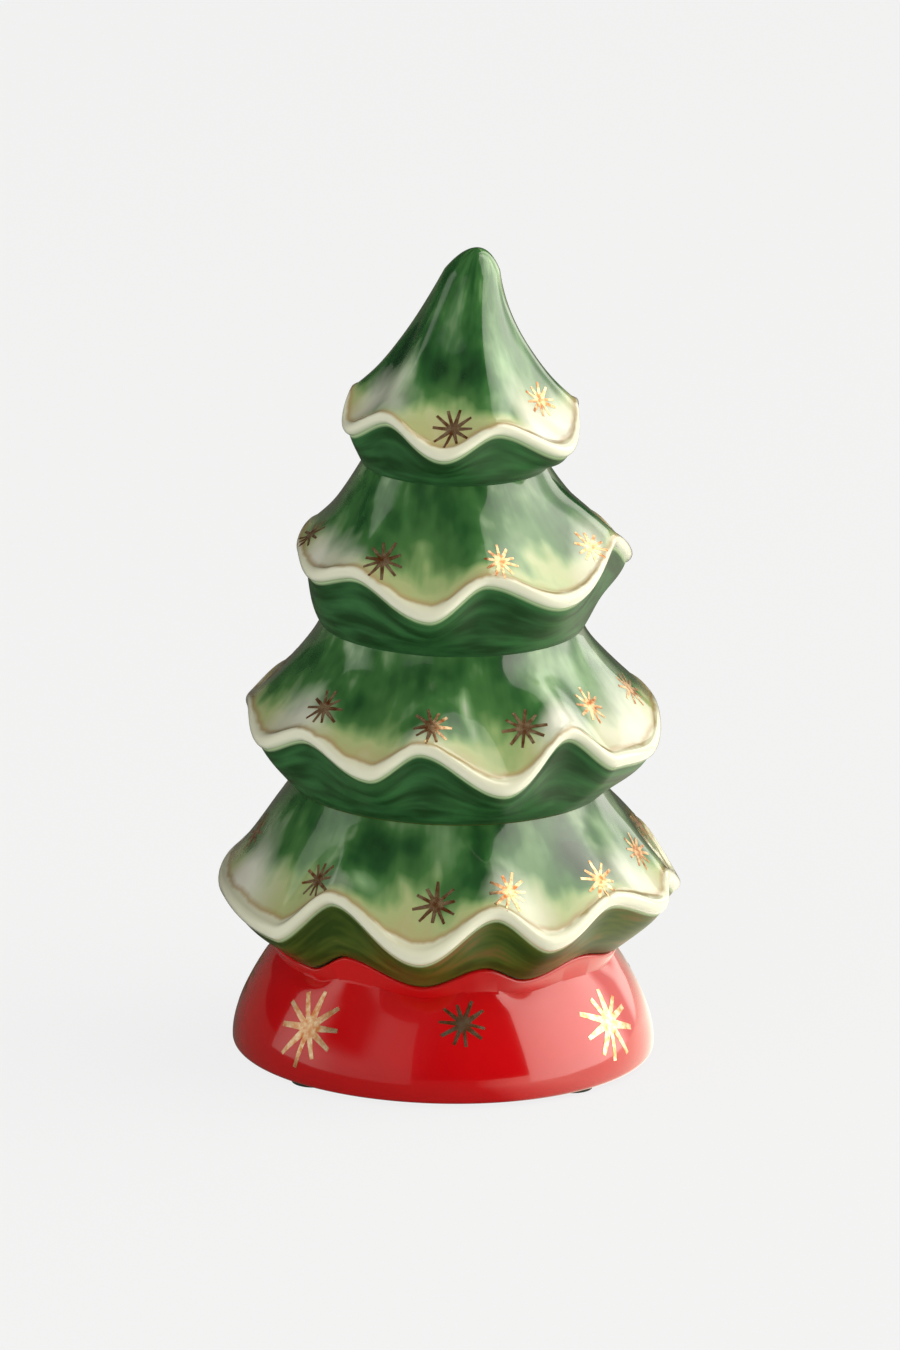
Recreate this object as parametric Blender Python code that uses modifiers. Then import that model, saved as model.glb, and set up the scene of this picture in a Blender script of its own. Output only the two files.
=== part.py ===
"""Glazed ceramic Christmas tree figurine.

A hollow slip-cast tree of four scalloped tiers stands on a hollow round plinth.
The tree's open mouth drops over a low boss on the plinth, so it lifts straight off.
Four felt pads are stuck under the plinth's foot.

Metres, +Z up, the front faces -Y, and the origin is the middle of the surface
that the figurine stands on. Sizes below are in millimetres.
"""

import math
from dataclasses import dataclass

import bmesh
import bpy

MM = 0.001

# Casting and fit
WALL = 3.2
SKIRT_SLOPE = 40
SEAT_GAP = 0.3
BOSS_CLEARANCE = 0.5

# Faceting: flats round the axis, and points along each curve of an outline
SEGMENTS = 72
TIP_STEPS = 3
SKIRT_STEPS = 5
HEM_STEPS = 3
COVE_STEPS = 3
HOLLOW_STEPS = 3
FLARE_STEPS = 7
EDGE_STEPS = 2
PAD_SIDES = 24
SHARP_ANGLE = 50

# Plinth
PAD_THICKNESS = 0.5
PAD_COUNT = 4
PAD_MARGIN = 0.5
FOOT_RADIUS = 38.8
FOOT_EDGE = 1.0
LAND_WIDTH = 9.0
FOOT_RECESS = 0.8
POUR_HOLE_RADIUS = 12.0
PLINTH_NECK_RADIUS = 31.4
PLINTH_NECK_HEIGHT = 18.8
FLARE_BEND_RADIUS = 39.1
FLARE_BEND_HEIGHT = 7.3
LIP_HEIGHT = 3.4
LIP_INSET = 0.5
LIP_ROUND = 0.6
BOSS_HEIGHT = 5.0
BOSS_CHAMFER = 1.0

# Tree
RIM_RADIUS = 33.1
RIM_WIDTH = 4.2
TIP_HEIGHT = 4.2
TIP_BLUNTNESS = 2.6
TIP_SHOULDER_RADIUS = 5.1
TIP_LEAN = 3.2
TIP_WALL = 13.0
HEM_ROUND = 1.6
HEM_TURN = 75
COVE_DEPTH = 2 / 3
FOLD_DEPTH = 4.0
FLARE_SHARE = 0.45
SEAM_SHARE = 0.46

# Lowest tier
LOWEST_UNDERSIDE_HEIGHT = 8.8
LOWEST_HEM_RADIUS = 41.6
LOWEST_HEM_HEIGHT = 3.4
LOWEST_SKIRT_HEIGHT = 15.4
LOWEST_TOP_RADIUS = 28.7
LOWEST_BEND_RADIUS = 30.6
LOWEST_BEND_HEIGHT = 12.2
LOWEST_HEM_SHIFT = 0.5

# Lower middle tier
LOWER_UNDERSIDE_HEIGHT = 11.9
LOWER_HEM_RADIUS = 38.2
LOWER_HEM_HEIGHT = 3.2
LOWER_SKIRT_HEIGHT = 15.4
LOWER_TOP_RADIUS = 24.1
LOWER_BEND_RADIUS = 25.7
LOWER_BEND_HEIGHT = 10.7
LOWER_HEM_SHIFT = 0.4

# Upper middle tier
UPPER_UNDERSIDE_HEIGHT = 11.9
UPPER_HEM_RADIUS = 30.8
UPPER_HEM_HEIGHT = 3.2
UPPER_SKIRT_HEIGHT = 15.1
UPPER_TOP_RADIUS = 17.0
UPPER_BEND_RADIUS = 22.1
UPPER_BEND_HEIGHT = 6.3
UPPER_HEM_SHIFT = 1.8

# Highest tier
HIGHEST_UNDERSIDE_HEIGHT = 8.5
HIGHEST_HEM_RADIUS = 21.8
HIGHEST_HEM_HEIGHT = 2.9
HIGHEST_SKIRT_HEIGHT = 24.8
HIGHEST_BEND_RADIUS = 10.6
HIGHEST_BEND_HEIGHT = 8.1
HIGHEST_HEM_SHIFT = 1.1


@dataclass
class Tier:
    """One bell-shaped tier: an underside, a rounded hem and a flared skirt above it."""

    underside_height: float
    hem_radius: float
    hem_height: float
    skirt_height: float
    top_radius: float
    bend_radius: float
    bend_height: float
    hem_shift: float
    hem: tuple


# From the lowest tier to the highest. Each hem is its lobes and the crests between them, as
# bearings in degrees from the front, positive to the right, with how much of the fold depth
# it hangs there.
TIERS = (
    Tier(
        underside_height=LOWEST_UNDERSIDE_HEIGHT,
        hem_radius=LOWEST_HEM_RADIUS,
        hem_height=LOWEST_HEM_HEIGHT,
        skirt_height=LOWEST_SKIRT_HEIGHT,
        top_radius=LOWEST_TOP_RADIUS,
        bend_radius=LOWEST_BEND_RADIUS,
        bend_height=LOWEST_BEND_HEIGHT,
        hem_shift=LOWEST_HEM_SHIFT,
        hem=(
            (-48, 0.97),
            (-33, -1.10),
            (-7, 1.00),
            (13, -0.93),
            (27, 0.57),
            (49, -0.75),
            (71, 0.38),
            (81, -0.38),
            (99, 0.78),
            (118, -1.15),
            (137, 0.90),
            (156, -0.80),
            (175, 0.75),
            (194, -0.93),
            (212, 0.85),
            (231, -0.78),
            (252, 0.23),
            (280, 0.53),
        ),
    ),
    Tier(
        underside_height=LOWER_UNDERSIDE_HEIGHT,
        hem_radius=LOWER_HEM_RADIUS,
        hem_height=LOWER_HEM_HEIGHT,
        skirt_height=LOWER_SKIRT_HEIGHT,
        top_radius=LOWER_TOP_RADIUS,
        bend_radius=LOWER_BEND_RADIUS,
        bend_height=LOWER_BEND_HEIGHT,
        hem_shift=LOWER_HEM_SHIFT,
        hem=(
            (-65, 0.45),
            (-47, -0.53),
            (-23, 0.53),
            (-9, -0.78),
            (15, 0.95),
            (37, -1.12),
            (52, 0.50),
            (68, 0.70),
            (97, -0.23),
            (117, -0.50),
            (138, 0.72),
            (158, -0.62),
            (178, 0.68),
            (198, -0.72),
            (218, 0.62),
            (237, -0.60),
            (256, 0.10),
            (275, -0.30),
        ),
    ),
    Tier(
        underside_height=UPPER_UNDERSIDE_HEIGHT,
        hem_radius=UPPER_HEM_RADIUS,
        hem_height=UPPER_HEM_HEIGHT,
        skirt_height=UPPER_SKIRT_HEIGHT,
        top_radius=UPPER_TOP_RADIUS,
        bend_radius=UPPER_BEND_RADIUS,
        bend_height=UPPER_BEND_HEIGHT,
        hem_shift=UPPER_HEM_SHIFT,
        hem=(
            (-58, 0.15),
            (-42, -0.38),
            (-11, 0.95),
            (9, -0.65),
            (37, 0.57),
            (76, -1.10),
            (106, 0.55),
            (127, -0.60),
            (148, 0.70),
            (169, -0.62),
            (190, 0.65),
            (211, -0.68),
            (231, 0.60),
            (251, -0.55),
            (271, 0.17),
            (288, -0.57),
        ),
    ),
    Tier(
        underside_height=HIGHEST_UNDERSIDE_HEIGHT,
        hem_radius=HIGHEST_HEM_RADIUS,
        hem_height=HIGHEST_HEM_HEIGHT,
        skirt_height=HIGHEST_SKIRT_HEIGHT,
        top_radius=TIP_SHOULDER_RADIUS,
        bend_radius=HIGHEST_BEND_RADIUS,
        bend_height=HIGHEST_BEND_HEIGHT,
        hem_shift=HIGHEST_HEM_SHIFT,
        hem=(
            (-71, 0.50),
            (-43, -0.55),
            (-9, 0.70),
            (19, -0.40),
            (57, 0.97),
            (90, -0.40),
            (119, 0.50),
            (147, -0.57),
            (176, 0.60),
            (204, -0.53),
            (232, 0.57),
            (260, -0.62),
        ),
    ),
)

# Heights and radii that follow from the sizes above
LAND_Z = PAD_THICKNESS + SEAT_GAP
PLINTH_NECK_Z = LAND_Z + PLINTH_NECK_HEIGHT
SEAT_Z = PLINTH_NECK_Z + LIP_HEIGHT
BOSS_TOP_Z = SEAT_Z + BOSS_HEIGHT
RIM_Z = SEAT_Z + SEAT_GAP
MOUTH_RADIUS = RIM_RADIUS - RIM_WIDTH
BOSS_RADIUS = MOUTH_RADIUS - BOSS_CLEARANCE
SLOPED_WALL = WALL / math.cos(math.radians(SKIRT_SLOPE))


def curve(start, bend, end, steps):
    """Points (radius, height) along a smooth bend, without its start."""
    points = []
    for step in range(1, steps + 1):
        t = step / steps
        points.append(
            tuple(
                (1 - t) ** 2 * a + 2 * t * (1 - t) * b + t**2 * c
                for a, b, c in zip(start, bend, end)
            )
        )
    return points


def arc(centre, size, first, last, steps):
    """Points of an elliptical arc from one angle to another, both ends included."""
    points = []
    for step in range(steps + 1):
        angle = math.radians(first + (last - first) * step / steps)
        radius = centre[0] + size[0] * math.cos(angle)
        points.append((radius, centre[1] + size[1] * math.sin(angle)))
    return points


def ease(low, high, value):
    """0 below low, 1 above high, and a smooth rise between them."""
    t = min(max((value - low) / (high - low), 0), 1)
    return t * t * (3 - 2 * t)


def hang_at(hem, bearing):
    """How far a hem hangs at a bearing, easing from each lobe to the crest beside it."""
    first = hem[0][0]
    turn = (bearing - first) % 360
    knots = [((at - first) % 360, share) for at, share in hem] + [(360, hem[0][1])]
    for (start, before), (end, after) in zip(knots, knots[1:]):
        if turn <= end:
            return FOLD_DEPTH * (before + (after - before) * ease(start, end, turn))
    return FOLD_DEPTH * hem[0][1]


class TierHeights:
    """Where one tier lies, worked out from the tiers below it."""

    def __init__(self, tier, neck_z):
        self.tier = tier
        self.neck_z = neck_z
        self.hem_low_z = neck_z + tier.underside_height
        self.hem_top_z = self.hem_low_z + tier.hem_height
        self.top_z = self.hem_top_z + tier.skirt_height


def stack_tiers():
    """The four tiers with their heights, each standing on the one before."""
    stacked = []
    neck_z = RIM_Z
    for tier in TIERS:
        stacked.append(TierHeights(tier, neck_z))
        neck_z = stacked[-1].top_z
    return stacked


STACK = stack_tiers()
TIP_Z = STACK[-1].top_z + TIP_HEIGHT


def tree_profile():
    """Outline of the casting: down the glazed outside, across the rim, up the hollow."""
    shoulder = (TIP_SHOULDER_RADIUS, STACK[-1].top_z)
    outside = [(0, TIP_Z)]
    outside += curve(outside[0], (TIP_BLUNTNESS, TIP_Z), shoulder, TIP_STEPS)
    inside = [(MOUTH_RADIUS, RIM_Z)]
    for place in reversed(STACK):
        tier = place.tier
        hem_middle_z = place.hem_low_z + tier.hem_height / 2
        hem = arc(
            (tier.hem_radius - HEM_ROUND, hem_middle_z),
            (HEM_ROUND, tier.hem_height / 2),
            HEM_TURN,
            -HEM_TURN,
            HEM_STEPS,
        )
        bend = (tier.bend_radius, place.hem_top_z + tier.bend_height)
        outside += curve(outside[-1], bend, hem[0], SKIRT_STEPS) + hem[1:]
        below = STACK.index(place) - 1
        neck_radius = TIERS[below].top_radius if below >= 0 else RIM_RADIUS
        neck = (neck_radius, place.neck_z)
        cove_z = hem[-1][1] + (place.neck_z - hem[-1][1]) * COVE_DEPTH
        cove = ((neck_radius + hem[-1][0]) / 2, cove_z)
        outside += curve(hem[-1], cove, neck, COVE_STEPS)

    for place in STACK:
        tier = place.tier
        hem_z = place.hem_low_z + tier.hem_height / 2
        hem = (tier.hem_radius - SLOPED_WALL, hem_z)
        inside.append(hem)
        top = (tier.top_radius - WALL, place.top_z)
        if place is STACK[-1]:
            top = (0, TIP_Z - TIP_WALL)
        bend = (
            tier.bend_radius - SLOPED_WALL,
            place.hem_top_z + tier.bend_height,
        )
        inside += curve(hem, bend, top, HOLLOW_STEPS)
    return outside + inside


def plinth_profile():
    """Outline of the casting: boss, seat, lip and flare, round the foot, up the hollow."""
    lip_radius = RIM_RADIUS - LIP_INSET
    recess_z = LAND_Z + FOOT_RECESS
    floor_z = recess_z + WALL
    land_inner = FOOT_RADIUS - FOOT_EDGE - LAND_WIDTH
    foot_side = (FOOT_RADIUS, LAND_Z + FOOT_EDGE)
    neck = (PLINTH_NECK_RADIUS, PLINTH_NECK_Z)
    bend = (FLARE_BEND_RADIUS, LAND_Z + FLARE_BEND_HEIGHT)
    outside = [
        (0, BOSS_TOP_Z),
        (BOSS_RADIUS - BOSS_CHAMFER, BOSS_TOP_Z),
        (BOSS_RADIUS, BOSS_TOP_Z - BOSS_CHAMFER),
        (BOSS_RADIUS, SEAT_Z),
    ]
    lip = (lip_radius - LIP_ROUND, SEAT_Z - LIP_ROUND)
    outside += arc(lip, (LIP_ROUND, LIP_ROUND), 90, -30, EDGE_STEPS)
    outside += [neck] + curve(neck, bend, foot_side, FLARE_STEPS)
    edge = (FOOT_RADIUS - FOOT_EDGE, LAND_Z + FOOT_EDGE)
    outside += arc(edge, (FOOT_EDGE, FOOT_EDGE), -30, -90, EDGE_STEPS)
    inside = [
        (land_inner, LAND_Z),
        (land_inner - FOOT_RECESS, recess_z),
        (POUR_HOLE_RADIUS, recess_z),
        (POUR_HOLE_RADIUS, floor_z),
        (FOOT_RADIUS - WALL - FOOT_EDGE, floor_z),
        (FOOT_RADIUS - WALL, floor_z + FOOT_EDGE),
    ]
    inner_neck = (PLINTH_NECK_RADIUS - WALL, PLINTH_NECK_Z)
    inner_bend = (FLARE_BEND_RADIUS - WALL, bend[1] + WALL)
    ceiling_radius = BOSS_RADIUS - WALL
    inside += curve(inside[-1], inner_bend, inner_neck, HOLLOW_STEPS)
    inside += [
        (ceiling_radius, SEAT_Z),
        (ceiling_radius, BOSS_TOP_Z - WALL),
        (0, BOSS_TOP_Z - WALL),
    ]
    return outside + inside


def drape_tree(radius, bearing, z):
    """Puts a point of the turned tree where its folds, its shifted hems and its lean put it."""
    place = next((p for p in STACK if z <= p.top_z), STACK[-1])
    hang = hang_at(place.tier.hem, bearing)
    above = 1 - ease(place.hem_top_z, place.top_z, z)
    below = ease(place.neck_z, place.hem_low_z, z)
    near_hem = min(above, below)
    flare = FLARE_SHARE * hang * near_hem
    shift = place.tier.hem_shift * near_hem + lean(z)
    if place is STACK[0]:
        near_hem = min(above, SEAM_SHARE + (1 - SEAM_SHARE) * below)
    return radius + flare * radius / place.tier.hem_radius, shift, z - hang * near_hem


def drape_plinth(radius, bearing, z):
    """Waves the seat in step with the tree's rim, and leaves the flare and boss round."""
    up = ease(PLINTH_NECK_Z - LIP_HEIGHT, SEAT_Z, z)
    down = 1 - ease(SEAT_Z, BOSS_TOP_Z - BOSS_CHAMFER, z)
    return radius, 0, z - SEAM_SHARE * min(up, down) * hang_at(TIERS[0].hem, bearing)


def lean(z):
    """How far the highest tier leans to the right above its hem; the rest stands upright."""
    hem_top_z = STACK[-1].hem_top_z
    return TIP_LEAN * max((z - hem_top_z) / (TIP_Z - hem_top_z), 0) ** 2


def turn_profile(name, profile, collection):
    """A solid of revolution about Z from an outline that starts and ends on the axis."""
    mesh = bpy.data.meshes.new(name + "_profile")
    points = [(radius * MM, 0, z * MM) for radius, z in profile]
    edges = [(i, i + 1) for i in range(len(points) - 1)]
    mesh.from_pydata(points, edges, [])
    guide = bpy.data.objects.new(name + "_profile", mesh)
    collection.objects.link(guide)
    screw = guide.modifiers.new("turn", "SCREW")
    screw.axis = "Z"
    screw.angle = math.tau
    screw.steps = SEGMENTS
    screw.render_steps = SEGMENTS
    screw.use_merge_vertices = True
    screw.merge_threshold = 0.01 * MM
    bpy.context.view_layer.update()
    graph = bpy.context.evaluated_depsgraph_get()
    turned = bpy.data.meshes.new_from_object(guide.evaluated_get(graph))
    turned.name = name
    bpy.data.objects.remove(guide)
    bpy.data.meshes.remove(mesh)
    return turned


def drape(mesh, rule):
    """Moves each vertex of a turned mesh by a rule that gives radius, shift to the right, height."""
    shape = bmesh.new()
    shape.from_mesh(mesh)
    for vertex in shape.verts:
        x, y, z = (value / MM for value in vertex.co)
        bearing = math.degrees(math.atan2(x, -y))
        radius, shift, new_z = rule(math.hypot(x, y), bearing, z)
        angle = math.radians(bearing)
        vertex.co = (
            (radius * math.sin(angle) + shift) * MM,
            -radius * math.cos(angle) * MM,
            new_z * MM,
        )
    bmesh.ops.recalc_face_normals(shape, faces=shape.faces)
    shape.to_mesh(mesh)
    shape.free()


def make_material(name, colour, roughness):
    """A plain finish with the piece's own colour."""
    material = bpy.data.materials.new(name)
    material.use_nodes = True
    shader = material.node_tree.nodes["Principled BSDF"]
    shader.inputs["Base Color"].default_value = (*colour, 1)
    shader.inputs["Roughness"].default_value = roughness
    shader.inputs["Metallic"].default_value = 0
    return material


def finish_casting(name, mesh, material, collection):
    """Puts a finished mesh in the scene, smooth but for the edges that were trimmed."""
    mesh.shade_smooth()
    mesh.set_sharp_from_angle(angle=math.radians(SHARP_ANGLE))
    mesh.materials.clear()
    mesh.materials.append(material)
    piece = bpy.data.objects.new(name, mesh)
    collection.objects.link(piece)
    return piece


def make_tree(collection):
    """The hollow tree: a turned bell of four tiers, draped into uneven folds."""
    mesh = turn_profile("tree_casting", tree_profile(), collection)
    drape(mesh, drape_tree)
    glaze = make_material("green_glaze", (0.025, 0.12, 0.035), 0.12)
    return finish_casting("tree_casting", mesh, glaze, collection)


def make_plinth(collection):
    """The hollow plinth, with the boss and the waved seat that carry the tree."""
    mesh = turn_profile("plinth_casting", plinth_profile(), collection)
    drape(mesh, drape_plinth)
    glaze = make_material("red_glaze", (0.55, 0.012, 0.012), 0.1)
    return finish_casting("plinth_casting", mesh, glaze, collection)


def make_pads(collection):
    """Round felt pads under the foot, evenly spaced and centred on its flat land."""
    felt = make_material("green_felt", (0.02, 0.05, 0.025), 0.95)
    ring_radius = FOOT_RADIUS - FOOT_EDGE - LAND_WIDTH / 2
    for number in range(PAD_COUNT):
        bearing = math.tau * (number + 0.5) / PAD_COUNT
        bpy.ops.mesh.primitive_cylinder_add(
            vertices=PAD_SIDES,
            radius=(LAND_WIDTH / 2 - PAD_MARGIN) * MM,
            depth=PAD_THICKNESS * MM,
            location=(
                ring_radius * math.sin(bearing) * MM,
                -ring_radius * math.cos(bearing) * MM,
                PAD_THICKNESS / 2 * MM,
            ),
        )
        pad = bpy.context.object
        pad.name = f"foot_pad_{number + 1}"
        pad.data.materials.append(felt)
        for other in pad.users_collection:
            other.objects.unlink(pad)
        collection.objects.link(pad)


def main():
    for item in list(bpy.data.objects):
        bpy.data.objects.remove(item)
    collection = bpy.data.collections.new("christmas_tree_figurine")
    bpy.context.scene.collection.children.link(collection)
    make_tree(collection)
    make_plinth(collection)
    make_pads(collection)
    print(f"height {TIP_Z:.1f} mm, seat at {SEAT_Z:.1f} mm, rim at {RIM_Z:.1f} mm")


main()
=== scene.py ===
# %% [markdown]
# # A glazed ceramic Christmas tree
# The figurine is two hollow slip castings: a green tree of four scalloped tiers that
# lifts off a round red plinth. The tree is brush-painted under a clear gloss glaze, the
# plinth is dipped in a red one, and gold lustre stars are fired on last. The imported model
# is loaded first, because every piece rides on one of its bodies and stays in its box.

import math
import random

import bmesh
import bpy
from mathutils import Matrix, Vector
from mathutils.bvhtree import BVHTree


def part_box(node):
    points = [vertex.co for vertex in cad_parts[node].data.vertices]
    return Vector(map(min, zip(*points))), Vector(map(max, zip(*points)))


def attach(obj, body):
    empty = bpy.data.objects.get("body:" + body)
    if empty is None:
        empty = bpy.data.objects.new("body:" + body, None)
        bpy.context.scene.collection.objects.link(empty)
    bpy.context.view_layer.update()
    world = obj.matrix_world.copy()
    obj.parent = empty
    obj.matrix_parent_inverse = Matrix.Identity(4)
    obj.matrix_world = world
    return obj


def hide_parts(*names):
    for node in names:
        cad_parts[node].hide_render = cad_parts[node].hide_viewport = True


MM = 0.001

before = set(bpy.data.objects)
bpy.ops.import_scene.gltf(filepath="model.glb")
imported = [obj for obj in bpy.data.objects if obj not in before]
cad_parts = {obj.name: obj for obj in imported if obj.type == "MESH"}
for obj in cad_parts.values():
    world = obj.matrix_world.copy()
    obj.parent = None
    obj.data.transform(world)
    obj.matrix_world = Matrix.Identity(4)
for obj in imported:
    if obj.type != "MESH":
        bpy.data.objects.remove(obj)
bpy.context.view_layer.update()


def in_mm(box):
    """A box's two corners in millimetres, to one decimal, for printing."""
    return [[round(value / MM, 1) for value in corner] for corner in box]


# %% [markdown]
# ## Colours and nodes
# Colours are written as the sRGB hex values that the eye reads off a glazed surface.
# Blender's sockets want linear light, so one function converts them. Materials are
# built from nodes, and one helper adds any kind of node with its settings and links.


# %% Colour and node helpers
def linear(code):
    """A colour such as #1f4a22 as linear red, green, blue and alpha."""
    channels = [int(code[start : start + 2], 16) / 255 for start in (1, 3, 5)]
    return (
        *(c / 12.92 if c <= 0.04045 else ((c + 0.055) / 1.055) ** 2.4 for c in channels),
        1,
    )


def add(tree, kind, sockets=None, stops=None, out=0, **settings):
    """Adds a node, sets or links its sockets, and returns one of its outputs.

    A ramp's first two stops are its own ends, and the others are added between them.
    """
    node = tree.nodes.new(kind)
    for name, value in settings.items():
        setattr(node, name, value)
    for name, value in (sockets or {}).items():
        if isinstance(value, bpy.types.NodeSocket):
            tree.links.new(value, node.inputs[name])
        elif isinstance(value, str) and value.startswith("#"):
            node.inputs[name].default_value = linear(value)
        else:
            node.inputs[name].default_value = value
    for number, (place, code) in enumerate(stops or ()):
        elements = node.color_ramp.elements
        element = elements[number] if number < 2 else elements.new(place)
        element.position = place
        element.color = linear(code) if isinstance(code, str) else (code, code, code, 1)
    return node.outputs[out] if node.outputs else None


def new_material(name):
    """An empty material and its node tree."""
    material = bpy.data.materials.new(name)
    material.use_nodes = True
    material.node_tree.nodes.clear()
    return material, material.node_tree


print("white in linear light", [round(c, 3) for c in linear("#f3f3f3")])

# %% [markdown]
# ## The camera
# The picture was taken from in front and a little above with a long lens. At this
# distance one pixel of the 900 by 1350 picture covers 0.1845 mm at the object, and
# the whole frame is turned by about one degree.

# %% Camera
VIEW_ELEVATION = math.radians(16)
VIEW_ROLL = math.radians(1.22)
CAMERA_DISTANCE = 2.75
PIXEL = 0.1845 * MM
FRAME_HEIGHT = 1350 * PIXEL
AIM_HEIGHT = 68.38 * MM
AIM_SIDE = -0.13 * MM
NEAREST_SEEN = 0.1
SENSOR_HEIGHT = 24

back = Vector((0, -math.cos(VIEW_ELEVATION), math.sin(VIEW_ELEVATION)))
upright = Vector((0, math.sin(VIEW_ELEVATION), math.cos(VIEW_ELEVATION)))
aim = AIM_HEIGHT * upright + Vector((AIM_SIDE, 0, 0))

camera = bpy.data.objects.new("camera", bpy.data.cameras.new("camera"))
bpy.context.scene.collection.objects.link(camera)
bpy.context.scene.camera = camera
camera.data.sensor_fit = "VERTICAL"
camera.data.sensor_height = SENSOR_HEIGHT
camera.data.lens = SENSOR_HEIGHT * CAMERA_DISTANCE / FRAME_HEIGHT
camera.data.clip_start = NEAREST_SEEN
turned = Matrix((Vector((1, 0, 0)), upright, back)).transposed().to_4x4()
camera.matrix_world = (
    Matrix.Translation(aim + back * CAMERA_DISTANCE)
    @ turned
    @ Matrix.Rotation(VIEW_ROLL, 4, "Z")
)
print("lens", round(camera.data.lens), "mm")

# %% [markdown]
# ## The stage
# A gloss glaze shows what stands round it, so the stage matters as much as the paint.
# A profile of floor, cove and low wall is spun into one pale sweep. Straight from the
# camera it glows at the backdrop's white, mixed with some plain white paint that still
# takes the figurine's shadow. Mirrored in the glaze it is dark on the left and bright on
# the right. Its back is see-through, so that the underside can be looked at from below.

# %% Stage
STAGE_RADIUS = 3.2
COVE_RADIUS = 0.4
WALL_TOP = 0.5
STAGE_STEPS = 96
COVE_STEPS = 12
BACKDROP_GLOW = 0.92


def spin_line(shape, line, angle, steps, **settings):
    """Joins vertices into a line and spins it round the vertical axis."""
    for start, end in zip(line, line[1:]):
        shape.edges.new((start, end))
    bmesh.ops.spin(
        shape,
        geom=shape.verts[:] + shape.edges[:],
        axis=(0, 0, 1),
        cent=(0, 0, 0),
        angle=angle,
        steps=steps,
        **settings,
    )


sweep = bmesh.new()
corners = [(0, 0), (STAGE_RADIUS, 0)]
for step in range(1, COVE_STEPS + 1):
    angle = math.pi / 2 * step / COVE_STEPS
    corners.append(
        (
            STAGE_RADIUS + COVE_RADIUS * math.sin(angle),
            COVE_RADIUS * (1 - math.cos(angle)),
        )
    )
corners.append((STAGE_RADIUS + COVE_RADIUS, WALL_TOP))
line = [sweep.verts.new((radius, 0, z)) for radius, z in corners]
spin_line(sweep, line, math.tau, STAGE_STEPS, use_merge=True)
bmesh.ops.remove_doubles(sweep, verts=sweep.verts, dist=0.1 * MM)
for face in sweep.faces:
    # Up and a little to the middle: that is inside for the floor, the cove and the wall.
    inward = Vector((0, 0, 1)) - face.calc_center_median() * 0.2
    if face.normal.dot(inward) < 0:
        face.normal_flip()
    face.smooth = True
stage_mesh = bpy.data.meshes.new("stage")
sweep.to_mesh(stage_mesh)
sweep.free()
stage = bpy.data.objects.new("stage", stage_mesh)
bpy.context.scene.collection.objects.link(stage)

paper, nodes = new_material("matt_white_paper_sweep")
seen = add(nodes, "ShaderNodeLightPath", out=0)
mirrored = add(nodes, "ShaderNodeLightPath", out=3)
through = add(nodes, "ShaderNodeLightPath", out=6)
looked_at = add(nodes, "ShaderNodeMath", {0: seen, 1: through}, operation="MAXIMUM")
place = add(nodes, "ShaderNodeTexCoord", out=3)
direction = add(nodes, "ShaderNodeVectorMath", {0: place}, operation="NORMALIZE")
rightward = add(nodes, "ShaderNodeSeparateXYZ", {0: direction}, out=0)
mirrored_glow = add(nodes, "ShaderNodeMapRange", {0: rightward, 1: 0.3, 2: 0.8, 3: 0.1, 4: 1.5})
strength = add(
    nodes, "ShaderNodeMix", {0: mirrored, 2: 1.0, 3: mirrored_glow}, data_type="FLOAT"
)
share = add(
    nodes,
    "ShaderNodeMath",
    {
        0: add(nodes, "ShaderNodeMath", {0: looked_at, 1: BACKDROP_GLOW}, operation="MULTIPLY"),
        1: mirrored,
    },
    operation="MAXIMUM",
)
tint = add(
    nodes, "ShaderNodeMix", {0: mirrored, 6: "#f4f4f4", 7: "#fff6e2"}, data_type="RGBA", out=2
)
glow = add(nodes, "ShaderNodeEmission", {"Color": tint, "Strength": strength})
lit = add(nodes, "ShaderNodeBsdfDiffuse", {"Color": "#ebebeb"})
front_side = add(nodes, "ShaderNodeMixShader", {0: share, 1: lit, 2: glow})
behind = add(nodes, "ShaderNodeNewGeometry", out=6)
clear = add(nodes, "ShaderNodeBsdfTransparent")
add(
    nodes,
    "ShaderNodeOutputMaterial",
    {"Surface": add(nodes, "ShaderNodeMixShader", {0: behind, 1: front_side, 2: clear})},
)
stage_mesh.materials.append(paper)
print("stage", len(stage_mesh.polygons), "faces")

# %% [markdown]
# ## The lights
# The pale flanks on the right of every tier are one large window-like softbox mirrored
# in the glaze. It is a patch of a sphere, spun from an arc, and its cloth glows most in
# the middle, so its brightness is written on its vertices. A dim panel stands on the
# left, and the front of the room is dark, which keeps the reds and greens deep. Two
# soft fills light the paint evenly and are kept out of the reflections.

# %% Lights
OBJECT_MIDDLE = Vector((0, 0, 70 * MM))
PANEL_DISTANCE = 2.2
WATTS_PER_RADIANCE = math.pi
ARCH_STEPS = 12
PANEL_STEPS = 24
DIM_EDGE = 7


def ease(low, high, value):
    """0 below low, 1 above high, and a smooth rise between them."""
    t = min(max((value - low) / (high - low), 0), 1)
    return t * t * (3 - 2 * t)


def level_at(levels, bearing):
    """The brightness at a bearing, read between the given (bearing, brightness) pairs."""
    for (start, before), (end, after) in zip(levels, levels[1:]):
        if bearing <= end:
            return before + (after - before) * (bearing - start) / (end - start)
    return levels[-1][1]


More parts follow.
